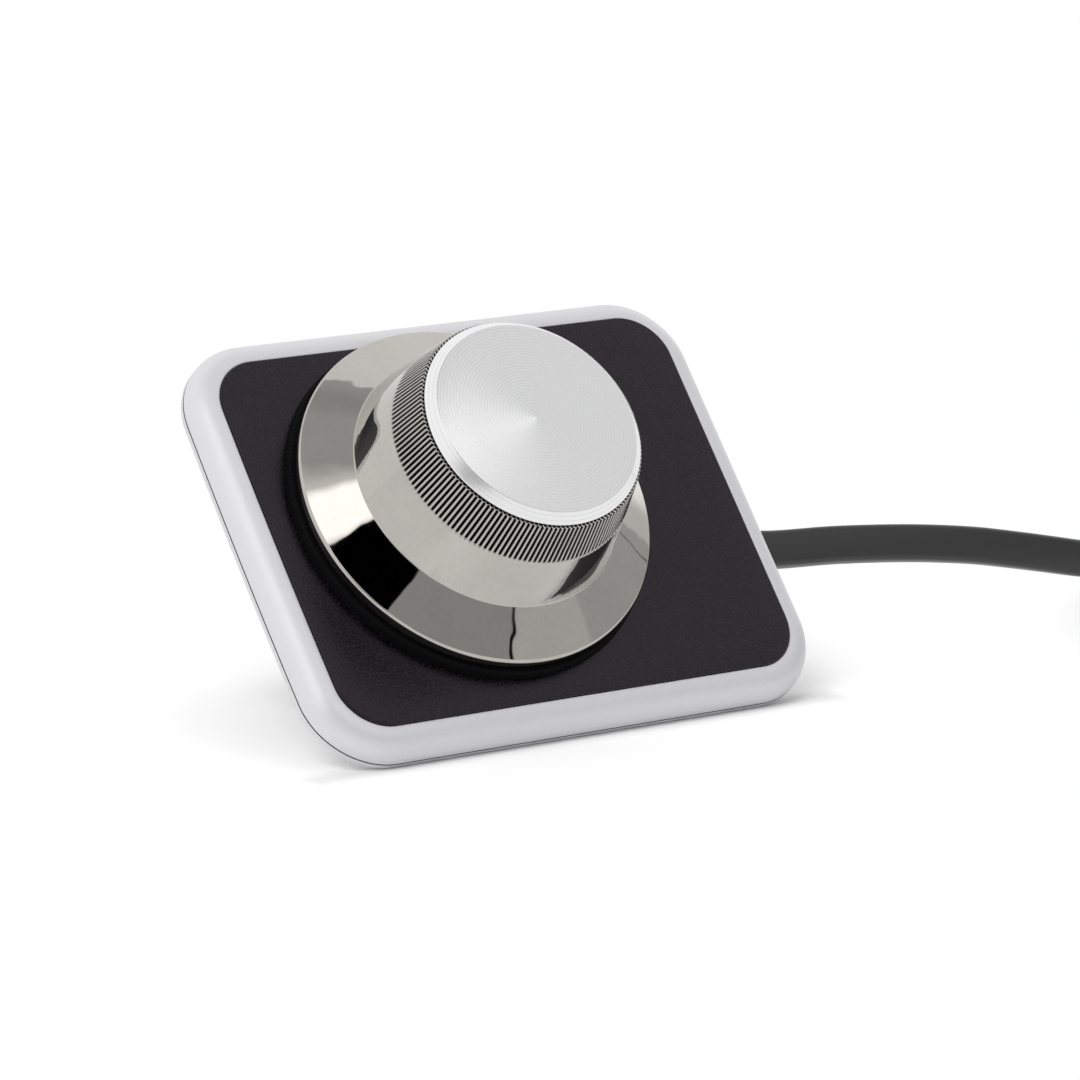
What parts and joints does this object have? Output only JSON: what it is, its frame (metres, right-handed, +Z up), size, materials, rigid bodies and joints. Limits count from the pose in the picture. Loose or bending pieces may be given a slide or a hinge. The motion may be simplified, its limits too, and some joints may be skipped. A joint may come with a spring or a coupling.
{
  "type": "remote bass knob",
  "caption": "Remote bass level control: framed face plate with a large skirted knurled knob on a potentiometer, rear housing with modular socket, and a coiled flat cord.",
  "frame": {"origin": "on the floor, under the middle of the object's box without its cord, as the control stands on the lower edge of its plate and the lower rear edge of its housing", "axes": "+X to the right as seen from the front, +Y to the rear, +Z up"},
  "size_m": [0.2157, 0.0965, 0.0489],
  "materials": {
    "satin_silver": "satin",
    "dark_grained": "matte, fine leather grain",
    "black_rubber": "matte",
    "black_plastic": "fine texture",
    "dark_steel": "blackened",
    "brass_metal": "turned",
    "board_green": "solder mask",
    "gold_contact": "plated",
    "plated_steel": "plated",
    "brown_laminate": "matte",
    "carbon_track": "matte",
    "white_nylon": "satin",
    "chrome_plate": "bright plated",
    "spun_metal": "turned rings",
    "clear_plastic": "clear",
    "black_cord": "satin",
    "strap_black": "soft"
  },
  "bodies": {
    "base": {"face_frame": "satin_silver", "back_plate": "satin_silver", "face_panel": "dark_grained", "seat_ring": "black_rubber", "rear_housing": "black_plastic", "rear_cover": "black_plastic", "modular_jack": "black_plastic", "plate_screws": "dark_steel", "housing_screws": "dark_steel", "bracket_inserts": "brass_metal", "circuit_board": "board_green", "jack_contacts": "gold_contact", "jack_plug_blades": "gold_contact", "far_plug_blades": "gold_contact", "pot_bushing": "plated_steel", "pot_can": "plated_steel", "pot_washer": "plated_steel", "pot_nut": "plated_steel", "pot_terminals": "plated_steel", "pot_wafer": "brown_laminate", "pot_track": "carbon_track", "jack_plug": "clear_plastic", "far_plug": "clear_plastic", "cord_lead": "black_cord", "cord_coil": "black_cord", "cord_tail": "black_cord", "cord_ties": "strap_black"},
    "knob": {"knob_shell": "chrome_plate", "knob_cap": "spun_metal", "hub_insert": "brass_metal", "hub_spring": "plated_steel", "pot_shaft": "plated_steel", "shaft_clip": "dark_steel", "pot_rotor": "white_nylon", "pot_wiper": "gold_contact"}
  },
  "joints": [
    {"name": "knob_turn", "type": "hinge", "parent": "base", "child": "knob", "pos_m": [-0.0056, -0.00131, 0.02548], "axis": [0, -0.7536, 0.6573], "range_deg": [-150, 150]}
  ]
}
